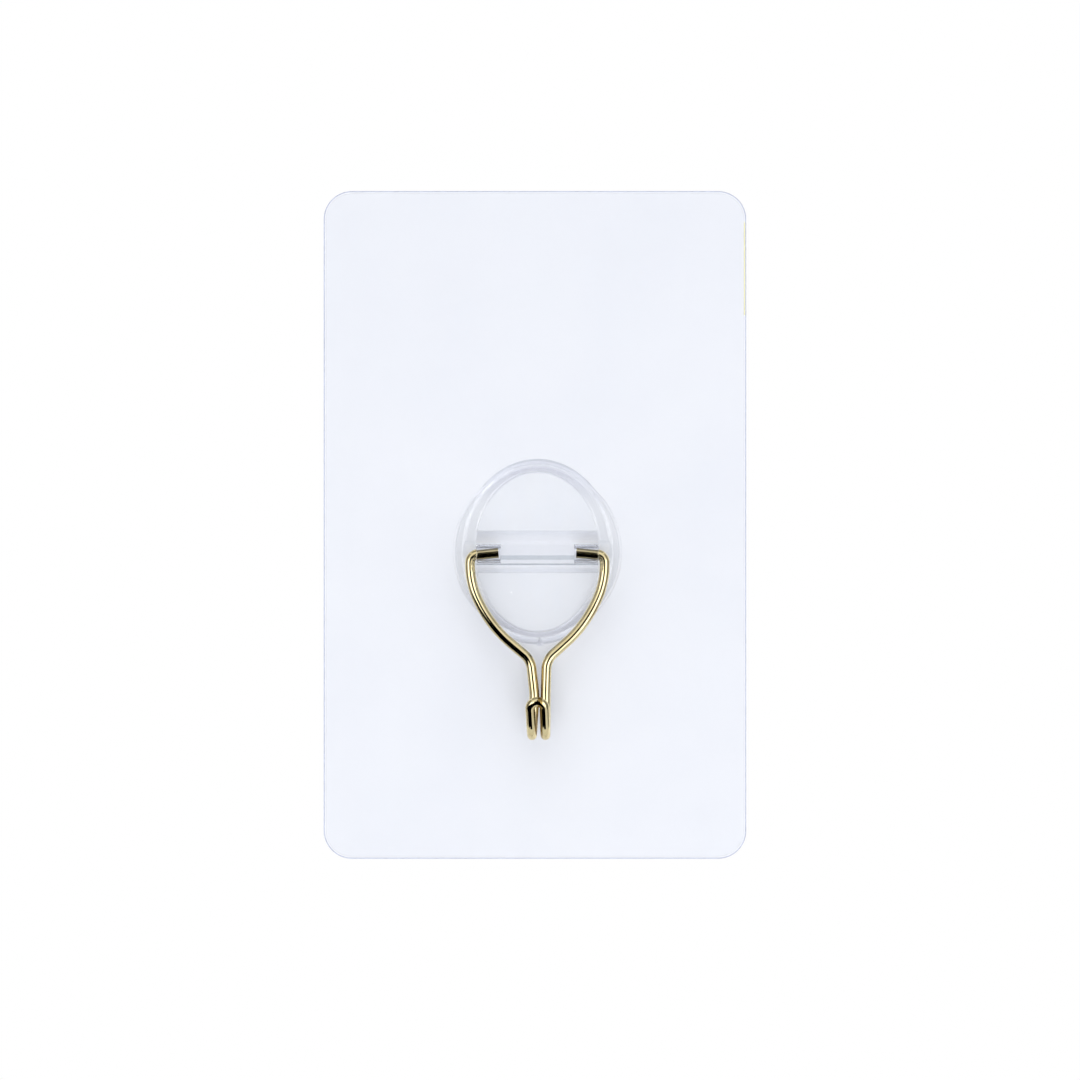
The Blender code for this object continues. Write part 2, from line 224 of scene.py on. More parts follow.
@dataclass(frozen=True)
class ClearMoulding:
    """Injection-moulded clear plastic: water-clear in front, with painted shade in its steep walls and
    edges.

    It has faint flow waves, a few handling marks and, along the barrel, a soft painted shadow band
    between the bores and a thin painted shadow line below it. Its oval ring shines more than the rest,
    and painted shade makes it greyer at the top and bottom. Places are in metres: heights from the
    barrel's axis, and depths along y. A line is given as its middle and half its width, and the window
    as half its width and half its height.
    """

    barrel_middle: tuple[float, float]
    barrel_depth: float
    foot_depth: float
    window: tuple[float, float]
    name: str = "clear_moulding"
    colour: Colour = (0.995, 0.997, 1.0)
    flow_tint: Colour = (0.975, 0.985, 1.0)
    crest_painted_shade: Colour = (0.88, 0.885, 0.935)
    barrel_tint: Colour = (0.92, 0.925, 0.955)
    wall_painted_shade: Colour = (0.74, 0.76, 0.82)
    foot_painted_shade: Colour = (0.50, 0.52, 0.58)
    painted_shadow_band_tint: Colour = (0.50, 0.54, 0.58)
    painted_shadow_line_tint: Colour = (0.34, 0.37, 0.41)
    painted_shadow_band: tuple[float, float] = (-0.00082, 0.00027)
    painted_shadow_band_half_length: float = 0.0052
    painted_shadow_line: tuple[float, float] = (-0.00176, 0.00007)
    line_soft: float = 0.00008
    line_end_soft: float = 0.00005
    barrel_soft: float = 0.0003
    foot_band: float = 0.0006
    foot_soft: float = 0.0002
    crest_rise: tuple[float, float] = (0.0055, 0.0105)
    shine: float = 0.45
    shine_refraction: float = 1.9
    shine_polish: float = 0.02
    refraction: float = 1.48
    polish: float = 0.012
    marks: float = 0.05
    wave_depth: float = 4e-6
    lamp_tint: Colour = (0.998, 0.998, 1.0)
    wall_shadow: float = 0.08

    def build(self) -> bpy.types.Material:
        """Make the material."""
        surface = Surface(self.name)
        graph = surface.graph
        flow = surface.noise(surface.stretched((1.0, 1.0, 0.45)), 420.0, 2.0)
        wear = surface.noise(surface.place, 900.0, 5.0, 0.65).ramp(0.58, 0.78)
        facing = graph.node("ShaderNodeTexCoord", output="Normal")
        steep = abs(facing.part("Y")).ramp(0.85, 0.3)
        level = abs(facing.part("Z")).ramp(0.25, 0.8)
        depth = surface.place.part("Y")
        height = surface.place.part("Z") - self.barrel_middle[1]
        across = abs(surface.place.part("X") - self.barrel_middle[0])
        oval = (across * (1 / self.window[0])) ** 2.0 + (height * (1 / self.window[1])) ** 2.0
        ring = oval.ramp(0.96, 1.0)
        crest = ring * abs(height).ramp(*self.crest_rise)
        on_barrel = depth.ramp(self.barrel_depth, self.barrel_depth - self.barrel_soft)
        between_ends = across.band(0.0, self.painted_shadow_band_half_length, self.line_end_soft)
        shadow_band = height.band(*self.painted_shadow_band, self.line_soft) * between_ends
        shadow_line = height.band(*self.painted_shadow_line, self.line_soft)
        foot_front = self.foot_depth - self.foot_band
        foot = depth.ramp(foot_front - self.foot_soft, foot_front)
        tone = graph.mix_colour(self.colour, self.flow_tint, flow.ramp(0.35, 0.75))
        # Painted shade: the ring's crest greyer towards its top and bottom.
        tone = graph.mix_colour(tone, self.crest_painted_shade, crest)
        tone = graph.mix_colour(tone, self.barrel_tint, on_barrel)
        # Painted shade on steep walls, strongest where they face up or down.
        tone = graph.mix_colour(tone, self.wall_painted_shade, steep * (level * 0.75 + 0.25))
        # Painted shade: a dark line along the ring's outer foot.
        tone = graph.mix_colour(tone, self.foot_painted_shade, steep * level * foot)
        # Painted shadows on the barrel: a soft band between the bores and a thin line below it.
        tone = graph.mix_colour(tone, self.painted_shadow_band_tint, shadow_band * on_barrel)
        tone = graph.mix_colour(tone, self.painted_shadow_line_tint, shadow_line * on_barrel)
        surface.feed(
            {
                "Base Color": tone,
                "Roughness": wear * self.marks + self.polish,
                "IOR": self.refraction,
                "Transmission Weight": 1.0,
                "Coat Weight": ring * self.shine,
                "Coat IOR": self.shine_refraction,
                "Coat Roughness": self.shine_polish,
            }
        )
        surface.bump(flow, self.wave_depth)
        surface.let_lamps_through(self.lamp_tint, steep * self.wall_shadow)
        return surface.material


@dataclass(frozen=True)
class ClearSheet:
    """Clear hard sheet: flat and glossy, with a faint haze, fine scuffs and painted bluish shade along
    its rim.
    """

    name: str = "clear_sheet"
    colour: Colour = (0.985, 0.99, 1.0)
    drift_tint: Colour = (0.975, 0.982, 0.995)
    rim_painted_shade: Colour = (0.38, 0.42, 0.61)
    refraction: float = 1.5
    polish: float = 0.02
    haze: float = 0.04
    scuffs: float = 0.12
    wave_depth: float = 6e-6

    def build(self) -> bpy.types.Material:
        """Make the material."""
        surface = Surface(self.name)
        drift = surface.noise(surface.place, 45.0, 3.0)
        scratch = surface.noise(surface.stretched((1.0, 1.0, 0.05)), 2600.0, 2.0).ramp(0.66, 0.8)
        facing = surface.graph.node("ShaderNodeTexCoord", output="Normal")
        rim = abs(facing.part("Y")).ramp(0.99, 0.9)
        tone = surface.graph.mix_colour(self.colour, self.drift_tint, drift.ramp(0.3, 0.7))
        # Painted shade: the rounded rim goes darker and bluish.
        tone = surface.graph.mix_colour(tone, self.rim_painted_shade, rim)
        surface.feed(
            {
                "Base Color": tone,
                "Roughness": drift * self.haze + scratch * self.scuffs + self.polish,
                "IOR": self.refraction,
                "Transmission Weight": 1.0,
            }
        )
        surface.bump(drift, self.wave_depth)
        return surface.material


@dataclass(frozen=True)
class ClearGel:
    """Clear soft adhesive: a little cloudy, with small trapped bubbles.

    It wets the clear pieces beside it, so its refraction is only the small step that is left at its
    faces. Clarity is the share of light that passes straight through. The rest makes it milky.
    """

    name: str
    colour: Colour
    clarity: float = 1.0
    cloud_tint: Colour = (0.97, 0.978, 0.992)
    refraction: float = 1.04
    wave_depth: float = 8e-6

    def build(self) -> bpy.types.Material:
        """Make the material."""
        surface = Surface(self.name)
        cloud = surface.noise(surface.place, 70.0, 4.0, 0.6)
        inputs = {"Vector": surface.place, "Scale": 700.0}
        cells = surface.graph.node("ShaderNodeTexVoronoi", {"feature": "F1"}, inputs, "Distance")
        bubbles = cells.ramp(0.16, 0.08)
        tone = surface.graph.mix_colour(self.colour, self.cloud_tint, cloud.ramp(0.35, 0.7))
        surface.feed(
            {
                "Base Color": tone,
                "Roughness": cloud * 0.12 + bubbles * 0.15 + 0.05,
                "IOR": self.refraction,
                "Transmission Weight": self.clarity,
            }
        )
        surface.bump(cloud + bubbles * 0.3, self.wave_depth)
        return surface.material


@dataclass(frozen=True)
class ReleaseFilm:
    """Thin siliconed film: milky, satin, with the faint streaks of its rolling and soft mottling.

    Plain is its tone where a coloured film has no colour on it.
    """

    name: str
    colour: Colour
    shade: Colour
    satin: float = 0.38
    plain: Colour = (0.885, 0.9, 0.945)
    colour_soft: float = 0.00004
    refraction: float = 1.45
    relief: float = 4e-6

    def build(self, coloured_from: Optional[float] = None) -> bpy.types.Material:
        """Make the material.

        Args:
            coloured_from: the x where the film's colour starts. It is plain to the left of that.

        Returns:
            The material.
        """
        surface = Surface(self.name)
        mottle = surface.noise(surface.place, 60.0, 5.0, 0.55)
        streak = surface.noise(surface.stretched((1.0, 1.0, 0.03)), 1500.0, 3.0)
        grain = surface.noise(surface.place, 6000.0, 2.0)
        uneven = (mottle * 0.7 + streak * 0.3).ramp(0.3, 0.75)
        tone = surface.graph.mix_colour(self.colour, self.shade, uneven)
        if coloured_from is not None:
            soft = self.colour_soft
            bare = surface.place.part("X").ramp(coloured_from + soft, coloured_from - soft)
            tone = surface.graph.mix_colour(tone, self.plain, bare)
        surface.feed(
            {
                "Base Color": tone,
                "Roughness": streak * 0.14 + mottle * 0.08 + self.satin,
                "IOR": self.refraction,
            }
        )
        surface.bump(grain * 0.5 + streak * 0.5, self.relief)
        return surface.material


@dataclass(frozen=True)
class GoldWire:
    """Drawn and plated wire: bright pale gold, with die lines that follow the wire.

    Between the two halves of the stem, painted shade turns the gold brown.
    """

    crevice_middle: float
    crevice_half_width: float
    crevice_top: float
    crevice_soft: float = 0.00022
    crevice_fade: float = 0.0012
    name: str = "pale_gold_plating"
    colour: Colour = (0.8, 0.7, 0.42)
    deep: Colour = (0.7, 0.58, 0.31)
    crevice_shade: Colour = (0.3, 0.2, 0.06)
    edge: Colour = (0.95, 0.88, 0.75)
    polish: float = 0.045
    die_lines: float = 0.07
    line_depth: float = 6e-7

    def build(self) -> bpy.types.Material:
        """Make the material. It reads the wire's own drawn and strain attributes."""
        surface = Surface(self.name)
        drawn = surface.graph.node(
            "ShaderNodeAttribute", {"attribute_name": WireHook.DRAWN}, None, "Vector"
        )
        strain = surface.graph.node(
            "ShaderNodeAttribute", {"attribute_name": WireHook.STRAIN}, None, "Fac"
        )
        lines = surface.noise(surface.stretched((9.0, 9.0, 120.0), drawn), 2.2, 4.0, 0.6)
        bloom = surface.noise(surface.place, 480.0, 4.0, 0.6)
        uneven = (bloom * 0.6 + lines * 0.4).ramp(0.38, 0.72)
        tone = surface.graph.mix_colour(self.colour, self.deep, uneven)
        # Painted shade: the gap between the stem's two halves goes dark brown.
        between = surface.place.part("X").band(
            self.crevice_middle, self.crevice_half_width, self.crevice_soft
        )
        below = surface.place.part("Z").ramp(self.crevice_top, self.crevice_top - self.crevice_fade)
        tone = surface.graph.mix_colour(tone, self.crevice_shade, between * below)
        polish = lines.ramp(0.4, 0.8) * self.die_lines + strain * 0.05 + bloom * 0.03 + self.polish
        surface.feed(
            {
                "Base Color": tone,
                "Metallic": 1.0,
                "Roughness": polish,
                "Specular Tint": (*self.edge, 1.0),
            }
        )
        surface.bump(lines + strain * bloom * 2.0, self.line_depth)
        return surface.material


@dataclass(frozen=True)
class ShearedEnd:
    """The wire's cut ends, where the plating stops: grey metal with the marks of the shear."""

    name: str = "sheared_steel"
    colour: Colour = (0.62, 0.6, 0.56)
    shade: Colour = (0.36, 0.33, 0.27)
    mark_depth: float = 1.2e-5

    def build(self) -> bpy.types.Material:
        """Make the material."""
        surface = Surface(self.name)
        marks = surface.noise(surface.stretched((1.0, 1.0, 0.12)), 9000.0, 3.0)
        surface.feed(
            {
                "Base Color": surface.graph.mix_colour(self.colour, self.shade, marks.ramp(0.35, 0.7)),
                "Metallic": 1.0,
                "Roughness": marks * 0.25 + 0.2,
            }
        )
        surface.bump(marks, self.mark_depth)
        return surface.material


def shaded(mesh: bpy.types.Mesh) -> bpy.types.Mesh:
    """Shade a mesh smooth between its sharp edges."""
    mesh.shade_smooth()
    mesh.set_sharp_from_angle(angle=SHARP_ANGLE)
    return mesh


def to_object(
    bm: bmesh.types.BMesh, name: str, finishes: Sequence[bpy.types.Material] = ()
) -> bpy.types.Object:
    """Turn a closed bmesh into an object at the origin, with its faces pointing outwards.

    Args:
        bm: the shape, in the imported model's frame. It is freed.
        name: the piece's name.
        finishes: its materials, by slot.

    Returns:
        The new object.
    """
    bmesh.ops.recalc_face_normals(bm, faces=bm.faces[:])
    mesh = bpy.data.meshes.new(name)
    bm.to_mesh(mesh)
    bm.free()
    for finish in finishes:
        mesh.materials.append(finish)
    piece = bpy.data.objects.new(name, shaded(mesh))
    bpy.context.scene.collection.objects.link(piece)
    return piece


def keep_flats_flat(piece: bpy.types.Object) -> None:
    """Weight a piece's shading by face area, so that a rounded edge doesn't bend it on a flat."""
    weighting = piece.modifiers.new("weighted_shading", "WEIGHTED_NORMAL")
    weighting.keep_sharp = True


def stand_up(bm: bmesh.types.BMesh, place: Vector) -> None:
    """Turn a shape that was modelled flat, its front upwards, to face -Y, and put it in place."""
    turn = Matrix.Rotation(math.pi / 2, 4, "X")
    bmesh.ops.transform(bm, matrix=Matrix.Translation(place) @ turn, verts=bm.verts[:])


def new_verts(geometry: Iterable[object]) -> list[bmesh.types.BMVert]:
    """The vertices in what an operator returns."""
    return [item for item in geometry if isinstance(item, bmesh.types.BMVert)]


def extrude_edges(bm: bmesh.types.BMesh, edges: list) -> tuple[list, list]:
    """Extrude edges where they lie, and return the new vertices and the edges between them."""
    extruded = bmesh.ops.extrude_edge_only(bm, edges=edges)["geom"]
    verts = new_verts(extruded)
    fresh = set(verts)
    between = [e for e in extruded if isinstance(e, bmesh.types.BMEdge) and fresh.issuperset(e.verts)]
    return verts, between


def raise_faces(bm: bmesh.types.BMesh, faces: list, depth: float) -> None:
    """Extrude flat faces along z by depth, into a closed solid."""
    extruded = bmesh.ops.extrude_face_region(bm, geom=faces)["geom"]
    bmesh.ops.translate(bm, verts=new_verts(extruded), vec=(0.0, 0.0, depth))


def edges_at(bm: bmesh.types.BMesh, height: float) -> list[bmesh.types.BMEdge]:
    """The edges that lie in the plane z = height."""
    return [e for e in bm.edges if all(abs(v.co.z - height) < SAME_LEVEL for v in e.verts)]


def round_edges(bm: bmesh.types.BMesh, edges: list, radius: float, segments: int) -> None:
    """Round edges to a radius."""
    bmesh.ops.bevel(
        bm, geom=edges, offset=radius, segments=segments, profile=0.5, affect="EDGES", material=-1
    )


@dataclass
class PadLaminate:
    """The pad: clear sheet, clear adhesive and release liner, with a yellow tab at the liner's edge."""

    corner: float = 0.0040
    corner_segments: int = 40
    rim: float = 0.00025
    rim_segments: int = 6
    tab_stripe: float = 0.0003
    sheet_finish: ClearSheet = field(default_factory=ClearSheet)
    gel_finish: ClearGel = ClearGel("clear_gel", (0.985, 0.99, 1.0))
    bond_finish: ClearGel = ClearGel("bonding_gel", (0.975, 0.985, 1.0), 0.87)
    film_finish: ReleaseFilm = ReleaseFilm("milky_film", (0.885, 0.9, 0.945), (0.87, 0.885, 0.935))
    tab_finish: ReleaseFilm = ReleaseFilm("yellow_film", (0.93, 0.88, 0.5), (0.9, 0.84, 0.42), 0.3)

    def sheet(self) -> bpy.types.Object:
        """The clear sheet, its corners and front rim rounded finely."""
        low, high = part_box("pad_sheet")
        size = high - low
        bm = bmesh.new()
        bmesh.ops.create_grid(bm, x_segments=1, y_segments=1, size=0.5)
        bmesh.ops.scale(bm, verts=bm.verts[:], vec=(size.x, size.z, 1.0))
        bmesh.ops.bevel(
            bm,
            geom=bm.verts[:],
            offset=self.corner,
            segments=self.corner_segments,
            profile=0.5,
            affect="VERTICES",
            material=-1,
        )
        raise_faces(bm, bm.faces[:], size.y)
        round_edges(bm, edges_at(bm, size.y), self.rim, self.rim_segments)
        stand_up(bm, Vector(((low.x + high.x) / 2, high.y, (low.z + high.z) / 2)))
        piece = to_object(bm, "carrier_sheet", [self.sheet_finish.build()])
        keep_flats_flat(piece)
        piece.visible_shadow = False
        piece.visible_diffuse = False
        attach(piece, Body.PAD.value)
        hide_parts("pad_sheet")
        return piece

    def dress(self) -> None:
        """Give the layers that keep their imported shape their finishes."""
        film = self.film_finish.build()
        tab = self.tab_finish.build(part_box("peel_tab")[1].x - self.tab_stripe)
        for node, finish, see_through in (
            ("release_liner", film, False),
            ("peel_tab", tab, False),
            ("adhesive_layer", self.gel_finish.build(), True),
            ("base_bond", self.bond_finish.build(), True),
        ):
            piece = frame["nodes"][node]
            piece.visible_shadow = False
            piece.visible_diffuse = not see_through
            piece.data.materials.clear()
            piece.data.materials.append(finish)

    def build(self) -> None:
        """Make and dress the whole pad."""
        sheet = self.sheet()
        self.dress()
        log.info("pad: %s with %d faces", sheet.name, len(sheet.data.polygons))


@dataclass
class HookBase:
    """The clear moulding: round flange, oval ring and cross barrel with a blind bore at each end.

    It is modelled flat, its back on z = 0 and its front upwards, and then stood up against the pad.
    """

    flange_radius: float = 0.0120
    flange_thickness: float = 0.0009
    flange_round: float = 0.00035
    ring_foot: tuple[float, float] = (0.0110, 0.01316)
    ring_crest: tuple[float, float] = (0.01035, 0.01207)
    ring_window: tuple[float, float] = (0.00875, 0.0113)
    ring_height: float = 0.0025
    ring_draft: float = 0.00012
    ring_round: float = 0.00022
    gate_width: float = 0.0009
    gate_right: float = 0.00037
    gate_stand: float = 0.00025
    gate_round: float = 0.0001
    gate_segments: int = 2
    barrel_length: float = 0.01724
    barrel_radius: float = 0.0030
    barrel_axis_height: float = 0.0035
    barrel_chamfer: float = 0.00015
    chamfer_segments: int = 3
    root_top: float = 0.0022
    root_inset: float = 0.0003
    bore_radius: float = 0.00095
    bore_depth: float = 0.00335
    saddle_radius: float = 0.0020
    saddle_run_out: float = 0.002
    spot_face: float = 0.00008
    pivot_drop: float = 0.0002
    round_segments: int = 6
    oval_segments: int = 288
    barrel_segments: int = 96
    bore_segments: int = 64

    def flange(self) -> bmesh.types.BMesh:
        """The round flange, its front rim rounded."""
        bm = bmesh.new()
        bmesh.ops.create_circle(
            bm, cap_ends=True, segments=self.oval_segments, radius=self.flange_radius
        )
        raise_faces(bm, bm.faces[:], self.flange_thickness)
        round_edges(bm, edges_at(bm, self.flange_thickness), self.flange_round, self.round_segments)
        return bm

    def ring_section(self) -> list[tuple[float, float, float]]:
        """The ring's section as ovals (half width, half height, level), from its foot to its window."""
        sizes = (self.ring_foot, self.ring_crest, self.ring_window)
        foot, crest, window = (Vector(size) for size in sizes)
        wall_top = foot.lerp(crest, (self.ring_height - self.ring_round) / self.ring_height)
        inner_top = window + Vector((self.ring_draft, self.ring_draft))
        section = [(*foot, 0.0)]
        for outline, inward, quarter in ((wall_top, -1.0, 0.0), (inner_top, 1.0, math.pi / 2)):
            for step in range(self.round_segments + 1):
                angle = quarter + math.pi / 2 * step / self.round_segments
                ease = self.ring_round * (1 - abs(math.cos(angle)))
                level = self.ring_height - self.ring_round * (1 - math.sin(angle))
                section.append((outline.x + inward * ease, outline.y + inward * ease, level))
        section.append((*window, 0.0))
        return section

    def ring(self) -> bmesh.types.BMesh:
        """The raised oval ring, lofted from oval to oval and closed underneath."""
        ovals = self.ring_section()
        bm = bmesh.new()
        verts = bmesh.ops.create_circle(bm, segments=self.oval_segments, radius=1.0)["verts"]
        bmesh.ops.scale(bm, verts=verts, vec=(ovals[0][0], ovals[0][1], 1.0))
        edges = bm.edges[:]
        for old, new in zip(ovals, ovals[1:] + ovals[:1]):
            verts, edges = extrude_edges(bm, edges)
            bmesh.ops.scale(bm, verts=verts, vec=(new[0] / old[0], new[1] / old[1], 1.0))
            bmesh.ops.translate(bm, verts=verts, vec=(0.0, 0.0, new[2] - old[2]))
        bmesh.ops.remove_doubles(bm, verts=bm.verts[:], dist=WELD_DISTANCE)
        return bm

    def barrel(self) -> bmesh.types.BMesh:
        """The cross barrel: round in front, with flat flanks down into the flange."""
        bm = bmesh.new()
        bmesh.ops.create_circle(bm, segments=self.barrel_segments, radius=self.barrel_radius)
        lower = [v for v in bm.verts if v.co.y < -SAME_LEVEL]
        bmesh.ops.delete(bm, geom=lower, context="VERTS")
        ends = [v for v in bm.verts if len(v.link_edges) == 1]
        foot_drop = self.barrel_axis_height - self.flange_thickness / 2
        extruded = bmesh.ops.extrude_vert_indiv(bm, verts=ends)["verts"]
        bmesh.ops.translate(bm, verts=extruded, vec=(0.0, -foot_drop, 0.0))
        bmesh.ops.contextual_create(bm, geom=extruded)
        bmesh.ops.contextual_create(bm, geom=bm.edges[:])
        raise_faces(bm, bm.faces[:], self.barrel_length)
        bmesh.ops.recalc_face_normals(bm, faces=bm.faces[:])
        rims = edges_at(bm, 0.0) + edges_at(bm, self.barrel_length)
        round_edges(bm, rims, self.barrel_chamfer, self.chamfer_segments)
        along_x = Matrix(((0.0, 0.0, 1.0), (-1.0, 0.0, 0.0), (0.0, 1.0, 0.0))).to_4x4()
        start = Vector((-self.barrel_length / 2, 0.0, self.barrel_axis_height))
        bmesh.ops.transform(bm, matrix=Matrix.Translation(start) @ along_x, verts=bm.verts[:])
        return bm

    def block(self, size: Vector, centre: Vector) -> bmesh.types.BMesh:
        """A plain block, given its size and the middle of its back."""
        bm = bmesh.new()
        bmesh.ops.create_cube(bm, size=1.0)
        bmesh.ops.scale(bm, verts=bm.verts[:], vec=size)
        bmesh.ops.translate(bm, verts=bm.verts[:], vec=centre + UP * (size.z / 2))
        return bm

    def root(self) -> bmesh.types.BMesh:
        """The foot that joins the barrel to the ring at both ends."""
        width = 2 * (self.barrel_radius - self.root_inset)
        size = Vector((2 * self.ring_window[0] + self.ring_round, width, self.root_top))
        return self.block(size, Vector())

    def gate(self) -> bmesh.types.BMesh:
        """The small stub at the bottom of the ring, left where the plastic entered the mould."""
        reach = (self.ring_foot[1] - self.ring_window[1]) / 2 + self.gate_stand
        size = Vector((self.gate_width, reach, self.flange_thickness / 2))
        centre = Vector((self.gate_right, reach / 2 - self.ring_foot[1] - self.gate_stand, 0.0))
        bm = self.block(size, centre)
        round_edges(bm, bm.edges[:], self.gate_round, self.gate_segments)
        return bm

    def bore_space(self, side: int) -> bmesh.types.BMesh:
        """The space of one bore and its saddle.

        Args:
            side: 1 for the right end, -1 for the left.

        Returns:
            A rod along x that starts at the bore's blind end and widens at the barrel's mouth.
        """
        mouth = self.barrel_length / 2 - self.spot_face
        clear = self.ring_foot[0] - mouth + self.saddle_run_out
        bm = bmesh.new()
        bmesh.ops.create_circle(bm, cap_ends=True, segments=self.bore_segments, radius=self.bore_radius)
        raise_faces(bm, bm.faces[:], self.bore_depth)
        top = [face for face in bm.faces if face.calc_center_median().z > self.bore_depth * 0.99]
        bmesh.ops.inset_region(
            bm, faces=top, thickness=self.bore_radius - self.saddle_radius, use_even_offset=True
        )
        extruded = bmesh.ops.extrude_discrete_faces(bm, faces=top)["faces"]
        corners = list({vert for face in extruded for vert in face.verts})
        bmesh.ops.translate(bm, verts=corners, vec=(0.0, 0.0, clear))
        turn = UP.rotation_difference(Vector((side, 0.0, 0.0))).to_matrix().to_4x4()
        place = Vector((side * (mouth - self.bore_depth), -self.pivot_drop, self.barrel_axis_height))
        bmesh.ops.transform(bm, matrix=Matrix.Translation(place) @ turn, verts=bm.verts[:])
        return bm

    def build(self) -> None:
        """Make the moulding."""
        low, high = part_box("hook_base")
        place = Vector(((low.x + high.x) / 2, high.y, high.z - self.ring_foot[1]))
        added = {"ring": self.ring(), "barrel": self.barrel(), "root": self.root(), "gate": self.gate()}
        spaces = {"left_bore": self.bore_space(-1), "right_bore": self.bore_space(1)}
        whole = to_object(self.flange(), "flange")
        helpers = [whole]
        for operation, shapes in (("UNION", added), ("DIFFERENCE", spaces)):
            for name, bm in shapes.items():
                other = to_object(bm, name)
                helpers.append(other)
                modifier = whole.modifiers.new(name, "BOOLEAN")
                modifier.operation = operation
                modifier.object = other
                modifier.solver = "EXACT"
        evaluated = whole.evaluated_get(bpy.context.evaluated_depsgraph_get())
        bm = bmesh.new()
        bm.from_mesh(evaluated.to_mesh())
        evaluated.to_mesh_clear()
        for helper in helpers:
            bpy.data.objects.remove(helper, do_unlink=True)
        bmesh.ops.remove_doubles(bm, verts=bm.verts[:], dist=WELD_DISTANCE)
        stand_up(bm, place)
        barrel_depth = place.y - self.barrel_axis_height
        finish = ClearMoulding((place.x, place.z), barrel_depth, place.y, self.ring_window)
        piece = to_object(bm, "moulded_base", [finish.build()])
        keep_flats_flat(piece)
        piece.visible_diffuse = False
        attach(piece, Body.PAD.value)
        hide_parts("hook_base")
        log.info("base: %s with %d faces", piece.name, len(piece.data.polygons))


